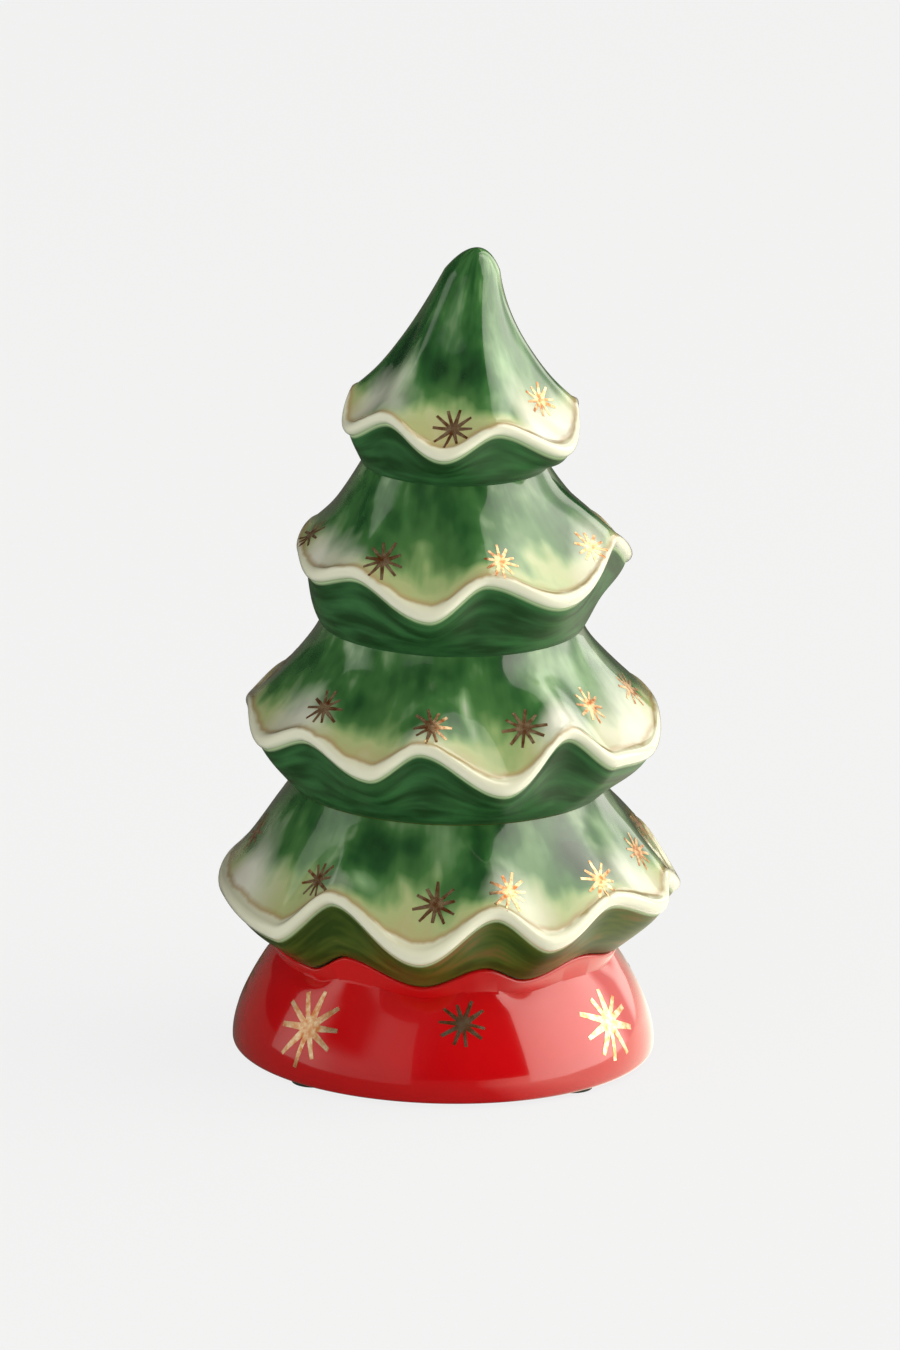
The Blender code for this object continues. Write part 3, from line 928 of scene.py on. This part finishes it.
def make_stars(name, piece, body, stars):
    """One piece of gold film that holds all the stars of a casting."""
    ground = BVHTree.FromObject(piece, bpy.context.evaluated_depsgraph_get())
    shape = bmesh.new()
    for seed, (bearing, z, size) in enumerate(stars, 1):
        add_star(shape, ground, bearing, z, size, seed)
    bmesh.ops.recalc_face_normals(shape, faces=shape.faces)
    for face in shape.faces:
        middle = face.calc_center_median()
        if face.normal.dot(ground.find_nearest(middle)[1]) < 0:
            face.normal_flip()
    bmesh.ops.solidify(shape, geom=shape.faces[:], thickness=FILM_THICKNESS * MM)
    finish_piece(name, shape, body, [])


# %% Stars on the castings
# Each star's bearing, height and width.
TREE_STARS = (
    (-1.5, 122.7, 8.4), (64.5, 125.5, 7.6), (117, 124, 8.0), (177, 122.5, 8.2), (237, 124, 7.8),
    (-29.3, 98.9, 8.2), (18.4, 100.1, 7.6), (61.6, 99.8, 7.6), (105, 98, 8.2), (150, 99, 8.0),
    (195, 98, 8.2), (237, 99, 8.0), (276, 98, 8.0),
    (-44.8, 71.0, 8.2), (-5.5, 70.8, 7.8), (24.5, 69.9, 8.4), (55, 71, 7.8), (86, 70, 8.2),
    (121, 71, 8.2), (156, 70, 8.0), (191, 71, 8.4), (226, 70.5, 8.2), (261, 71, 8.2),
    (-39.7, 39.9, 8.2), (-2.8, 38.3, 8.8), (18.2, 40.5, 8.2), (47.8, 40.2, 8.0), (75, 41, 8.2),
    (108, 40, 8.4), (141, 41, 8.0), (174, 40, 8.4), (207, 41.5, 8.2), (240, 40, 8.2),
    (273, 41, 8.2),
)
PLINTH_STARS = (
    (-42.5, 11.2, 15.0), (6.0, 14.9, 9.5), (56.9, 11.4, 14.6), (110, 12, 14.2), (161, 13.5, 13.6),
    (212, 11.6, 14.4), (264, 12.6, 14.0),
)
make_stars("tree_stars", tree_piece, "tree", TREE_STARS)
make_stars("plinth_stars", plinth_piece, "plinth", PLINTH_STARS)

# %% [markdown]
# ## Painted green glaze
# Copper-green underglaze is brushed down the tiers in overlapping strokes and thinned
# with water to yellow-green and ochre towards the hems, which carry thick white slip.
# A clear gloss glaze covers it all. The eye gets soft streaks that run down the skirt,
# a tan line over the snow, a mint shade under its edge, and a mirror-like gloss. Placed
# touches also paint light into the colour: a highlight down a fold, shade in creases and
# the window's reflection on the right flanks. The patterns read the layers of the mesh,
# so they follow the folds and have no seam.


# %% Brush strokes
def brushed(tree, brush, marks):
    """Soft noise in the brush's own space, by its marks per millimetre each way."""
    place = add(tree, "ShaderNodeMapping", {"Vector": brush, "Scale": marks})
    return add(tree, "ShaderNodeTexNoise", {"Vector": place, "Scale": 1.0, "Detail": 2.0})


green_glaze, nodes = new_material("brushed_copper_green_underglaze")
brush = add(nodes, "ShaderNodeAttribute", attribute_name="brush", out=1)
above_snow = add(nodes, "ShaderNodeAttribute", attribute_name="above_snow", out=2)
hem_mm = add(nodes, "ShaderNodeAttribute", attribute_name="hem_mm", out=2)
zone_mm = add(nodes, "ShaderNodeAttribute", attribute_name="zone_mm", out=2)

# Strokes are about 3 mm wide and 12 mm long, patches of thicker paint about 8 mm.
stroke = brushed(nodes, brush, (0.3, 0.3, 0.08))
patch = brushed(nodes, brush, (0.13, 0.13, 0.12))
mixed = add(nodes, "ShaderNodeMix", {0: 0.7, 2: stroke, 3: patch}, data_type="FLOAT")
# The touches shift the paint lighter or darker, and with it paint in a highlight, crease shade
# and the window's reflection.
touch = add(nodes, "ShaderNodeAttribute", attribute_name="touch", out=2)
lighter = add(nodes, "ShaderNodeMapRange", {0: touch, 1: -2.0, 2: 4.0, 3: -0.12, 4: 0.6})
calmer = add(nodes, "ShaderNodeMath", {0: mixed, 1: 0.8}, operation="MULTIPLY")
paint = add(nodes, "ShaderNodeMath", {0: calmer, 1: lighter}, operation="ADD")
# The palest greens are reached only where touches lighten the paint, as in the painted highlight
# down a fold.
greens = add(
    nodes,
    "ShaderNodeValToRGB",
    {0: paint},
    stops=(
        (0.32, "#1d3f20"), (1.0, "#e4edd2"), (0.45, "#29582b"), (0.58, "#44763e"),
        (0.76, "#8fb580"),
    ),
)
print("brush strokes", len(nodes.nodes), "nodes")

# %% [markdown]
# Near the hem the paint is a thin wash. It starts at a height above the snow that is a
# share of the washed zone, and the strokes blur it. Thin white slip whitens single places,
# and on the right flanks the same whitening is painted reflection of the window.


# %% Washed zone
def swing(tree, noise, amount):
    """Noise centred on zero and scaled, so that it pushes something either way."""
    centred = add(tree, "ShaderNodeMath", {0: noise, 1: 0.5}, operation="SUBTRACT")
    return add(tree, "ShaderNodeMath", {0: centred, 1: amount}, operation="MULTIPLY")


height_share = add(nodes, "ShaderNodeMath", {0: above_snow, 1: zone_mm}, operation="DIVIDE")
washed = add(
    nodes, "ShaderNodeMath", {0: height_share, 1: swing(nodes, mixed, 2.2)}, operation="SUBTRACT"
)
wash = add(
    nodes,
    "ShaderNodeValToRGB",
    {0: washed},
    stops=((0.0, "#b9b680"), (1.0, "#4f7d42"), (0.4, "#b4bf84"), (0.7, "#86a668")),
)
washed_share = add(nodes, "ShaderNodeMapRange", {0: washed, 1: 0.6, 2: 1.7, 3: 0.0, 4: 1.0})
skirt_colour = add(
    nodes, "ShaderNodeMix", {0: washed_share, 6: wash, 7: greens}, data_type="RGBA", out=2
)

# Whitening: thin white slip, and on the right flanks painted reflection of the window.
frost_and_reflection = add(nodes, "ShaderNodeAttribute", attribute_name="frost_and_reflection", out=2)
slip_and_reflection = add(nodes, "ShaderNodeMix", {0: 0.5, 2: frost_and_reflection, 3: mixed}, data_type="FLOAT")
slip_and_reflection_share = add(nodes, "ShaderNodeMapRange", {0: slip_and_reflection, 1: 0.3, 2: 0.8, 3: 0.0, 4: 0.9})
skirt_colour = add(
    nodes, "ShaderNodeMix", {0: slip_and_reflection_share, 6: skirt_colour, 7: "#eceada"}, data_type="RGBA", out=2
)
print("washed zone", len(nodes.nodes), "nodes")

# %% [markdown]
# The snow is thick white slip. Its upper edge wanders by about half a millimetre, and
# where it runs out thin, it burns to a tan line.

# %% Snow and its tan line
wander = swing(nodes, brushed(nodes, brush, (0.3, 0.3, 0.0)), 2.0)
snow_height = add(nodes, "ShaderNodeMath", {0: above_snow, 1: wander}, operation="ADD")
snow_share = add(
    nodes, "ShaderNodeMapRange", {0: snow_height, 1: 0.35, 2: -0.35, 3: 0.0, 4: 1.0}
)
tan_share = add(nodes, "ShaderNodeMapRange", {0: snow_height, 1: 1.3, 2: 0.2, 3: 0.0, 4: 0.8})
skirt_colour = add(
    nodes, "ShaderNodeMix", {0: tan_share, 6: skirt_colour, 7: "#b29466"}, data_type="RGBA", out=2
)
snow_colour = add(
    nodes,
    "ShaderNodeValToRGB",
    {0: add(nodes, "ShaderNodeMath", {0: hem_mm, 1: 0.25}, operation="MULTIPLY")},
    stops=((0.0, "#b9d2a4"), (1.0, "#e2e0c2"), (0.13, "#dfe9cb"), (0.4, "#f4f5de")),
)
colour = add(
    nodes,
    "ShaderNodeMix",
    {0: snow_share, 6: skirt_colour, 7: snow_colour},
    data_type="RGBA",
    out=2,
)
print("snow", len(nodes.nodes), "nodes")

# %% [markdown]
# The clear glaze is a coat of glass with a common glaze's IOR. It lies a little
# unevenly: in waves of about 6 mm, and over the brush strokes.

# %% Clear gloss over the paint
GLOSS = {
    "Roughness": 0.12, "IOR": 1.5, "Coat Weight": 1.0, "Coat Roughness": 0.03, "Coat IOR": 1.5
}
waves = add(
    nodes,
    "ShaderNodeTexNoise",
    {"Vector": add(nodes, "ShaderNodeTexCoord", out=3), "Scale": 1 / (6 * MM), "Detail": 1.0},
)
bump = add(nodes, "ShaderNodeBump", {"Strength": 0.25, "Distance": 0.3 * MM, "Height": waves})
bump = add(
    nodes,
    "ShaderNodeBump",
    {"Strength": 0.2, "Distance": 0.05 * MM, "Height": stroke, "Normal": bump},
)
surface = add(
    nodes,
    "ShaderNodeBsdfPrincipled",
    {"Base Color": colour, "Normal": bump, "Coat Normal": bump, **GLOSS},
)
add(nodes, "ShaderNodeOutputMaterial", {"Surface": surface})
print(green_glaze.name, len(nodes.nodes), "nodes")

# %% [markdown]
# ## Painted undersides
# Below each hem the brush goes round the tree instead of down, in one dark coat, and
# the glaze is thinner and satin there, because it drains off. The coat is darker than the
# skirts, partly as painted shade under the hems. The lowest tier's coat has olive in it,
# and its brown end is partly painted red light bouncing up from the plinth.

# %% Undersides
under_glaze, nodes = new_material("satin_copper_green_underside")
brush = add(nodes, "ShaderNodeAttribute", attribute_name="brush", out=1)
hem_mm = add(nodes, "ShaderNodeAttribute", attribute_name="hem_mm", out=2)
tier_number = add(nodes, "ShaderNodeAttribute", attribute_name="tier", out=2)
ring = brushed(nodes, brush, (0.1, 0.1, 0.45))
# Painted darker than the skirts, partly as the shade under each hem.
green_coat_and_shade = add(
    nodes, "ShaderNodeValToRGB", {0: ring}, stops=((0.36, "#1e4621"), (0.7, "#3a7340"))
)
# Olive, with a brown end that partly paints the red plinth's light bouncing up.
olive_coat_and_red_bounce = add(
    nodes,
    "ShaderNodeValToRGB",
    {0: ring},
    stops=((0.36, "#334a14"), (0.72, "#77602e"), (0.56, "#4f6120")),
)
lowest_share = add(
    nodes, "ShaderNodeMapRange", {0: tier_number, 1: 0.5, 2: 0.4, 3: 0.0, 4: 1.0}
)
coat = add(
    nodes,
    "ShaderNodeMix",
    {0: lowest_share, 6: green_coat_and_shade, 7: olive_coat_and_red_bounce},
    data_type="RGBA",
    out=2,
)
slip_share = add(nodes, "ShaderNodeMapRange", {0: hem_mm, 1: 0.7, 2: 0.2, 3: 0.0, 4: 1.0})
colour = add(
    nodes, "ShaderNodeMix", {0: slip_share, 6: coat, 7: "#b5cf9f"}, data_type="RGBA", out=2
)
bump = add(nodes, "ShaderNodeBump", {"Strength": 0.3, "Distance": 0.1 * MM, "Height": ring})
surface = add(
    nodes,
    "ShaderNodeBsdfPrincipled",
    {"Base Color": colour, "Roughness": 0.35, "Specular IOR Level": 0.25, "Normal": bump},
)
add(nodes, "ShaderNodeOutputMaterial", {"Surface": surface})
print(under_glaze.name, len(nodes.nodes), "nodes")

# %% [markdown]
# ## Bare biscuit
# Inside the castings and on the seat there is no glaze: the fired white earthenware
# shows, matt and slightly chalky, with the faint dust and pores of poured slip.

# %% Biscuit
biscuit, nodes = new_material("unglazed_white_earthenware")
place = add(nodes, "ShaderNodeTexCoord", out=3)
dust = add(nodes, "ShaderNodeTexNoise", {"Vector": place, "Scale": 1 / (9 * MM), "Detail": 4.0})
pores = add(
    nodes, "ShaderNodeTexNoise", {"Vector": place, "Scale": 1 / (0.7 * MM), "Detail": 2.0}
)
chalk = add(nodes, "ShaderNodeValToRGB", {0: dust}, stops=((0.3, "#d9d0c0"), (0.7, "#eee8dc")))
bump = add(nodes, "ShaderNodeBump", {"Strength": 0.4, "Distance": 0.06 * MM, "Height": pores})
surface = add(
    nodes, "ShaderNodeBsdfPrincipled", {"Base Color": chalk, "Roughness": 0.85, "Normal": bump}
)
add(nodes, "ShaderNodeOutputMaterial", {"Surface": surface})
print(biscuit.name, len(nodes.nodes), "nodes")

# %% [markdown]
# ## Red glaze
# The plinth is dipped in one opaque red gloss glaze. It is deep and even, a touch
# darker where it pools at the foot and thinner, so more orange, over the lip.

# %% Red glaze
red_glaze, nodes = new_material("dipped_selenium_red_glaze")
place = add(nodes, "ShaderNodeTexCoord", out=3)
height = add(nodes, "ShaderNodeSeparateXYZ", {0: place}, out=2)
cloud = add(
    nodes, "ShaderNodeTexNoise", {"Vector": place, "Scale": 1 / (14 * MM), "Detail": 3.0}
)
raised = add(
    nodes, "ShaderNodeMapRange", {0: height, 1: 1 * MM, 2: 22 * MM, 3: 0.0, 4: 1.0}
)
pooled = add(
    nodes, "ShaderNodeMath", {0: raised, 1: swing(nodes, cloud, 0.9)}, operation="ADD"
)
reds = add(
    nodes,
    "ShaderNodeValToRGB",
    {0: pooled},
    stops=((0.0, "#c2040c"), (1.0, "#d90f12"), (0.4, "#cf060e")),
)
waves = add(nodes, "ShaderNodeTexNoise", {"Vector": place, "Scale": 1 / (8 * MM), "Detail": 1.0})
bump = add(nodes, "ShaderNodeBump", {"Strength": 0.15, "Distance": 0.3 * MM, "Height": waves})
surface = add(
    nodes,
    "ShaderNodeBsdfPrincipled",
    {"Base Color": reds, "Normal": bump, "Coat Normal": bump, **GLOSS},
)
add(nodes, "ShaderNodeOutputMaterial", {"Surface": surface})
print(red_glaze.name, len(nodes.nodes), "nodes")

# %% [markdown]
# ## Gold lustre
# Fired gold lustre is a film of real metal. It is one lustre in two colours, partly
# painted light: pale on the red plinth, painted lighter for the brighter light its stars
# mirror, and coppery and darker on the green tree. It is bright where it mirrors a light
# and nearly brown where it mirrors the dark room, and the brush leaves it a little uneven.


# %% Gold
def gold_lustre(name, thin, thick, metallic):
    """A metal film between two colours, slightly rough and uneven."""
    lustre, nodes = new_material(name)
    place = add(nodes, "ShaderNodeTexCoord", out=3)
    film = add(
        nodes, "ShaderNodeTexNoise", {"Vector": place, "Scale": 1 / (1.2 * MM), "Detail": 2.0}
    )
    golds = add(nodes, "ShaderNodeValToRGB", {0: film}, stops=((0.3, thin), (0.7, thick)))
    bump = add(nodes, "ShaderNodeBump", {"Strength": 0.3, "Distance": 0.03 * MM, "Height": film})
    surface = add(
        nodes,
        "ShaderNodeBsdfPrincipled",
        {"Base Color": golds, "Metallic": metallic, "Roughness": 0.25, "Normal": bump},
    )
    add(nodes, "ShaderNodeOutputMaterial", {"Surface": surface})
    print(name, len(nodes.nodes), "nodes")
    return lustre


# One lustre, painted darker on the tree and lighter on the plinth for the light its stars mirror.
copper_gold = gold_lustre("fired_copper_gold_lustre", "#a8602c", "#f8d6a8", 0.85)
pale_gold = gold_lustre("fired_pale_gold_lustre", "#e08c50", "#ffe2bc", 0.94)

# %% [markdown]
# ## Pressed felt
# Wool felt is a mat of tangled fibres: no weave, a soft sheen at grazing angles and a
# mottled colour. Fibres are finer than the render shows, so they are drawn at 0.3 mm.

# %% Felt
felt, nodes = new_material("pressed_wool_felt")
place = add(nodes, "ShaderNodeTexCoord", out=3)
fibres = add(
    nodes,
    "ShaderNodeTexNoise",
    {"Vector": place, "Scale": 1 / (0.3 * MM), "Detail": 4.0, "Distortion": 1.5},
)
wool = add(nodes, "ShaderNodeValToRGB", {0: fibres}, stops=((0.3, "#1b2a1f"), (0.7, "#35503b")))
bump = add(nodes, "ShaderNodeBump", {"Strength": 0.8, "Distance": 0.1 * MM, "Height": fibres})
surface = add(
    nodes,
    "ShaderNodeBsdfPrincipled",
    {"Base Color": wool, "Roughness": 0.95, "Sheen Weight": 0.4, "Normal": bump},
)
add(nodes, "ShaderNodeOutputMaterial", {"Surface": surface})
print(felt.name, len(nodes.nodes), "nodes")

# %% [markdown]
# ## Finishes on the pieces
# Each casting takes more than one finish, in the order of the numbers that its faces
# got when they were turned: 0 the glazed outside, 1 bare biscuit, 2 the undersides.

# %% Put the finishes on the pieces
FINISHES = {
    "tree_painted": (green_glaze, biscuit, under_glaze),
    "plinth_glazed": (red_glaze, biscuit),
    "tree_stars": (copper_gold,),
    "plinth_stars": (pale_gold,),
    **{f"felt_pad_{number}": (felt,) for number in PAD_NUMBERS},
}
for name, finishes in FINISHES.items():
    for finish in finishes:
        bpy.data.objects[name].data.materials.append(finish)
    print(name, [finish.name for finish in finishes])
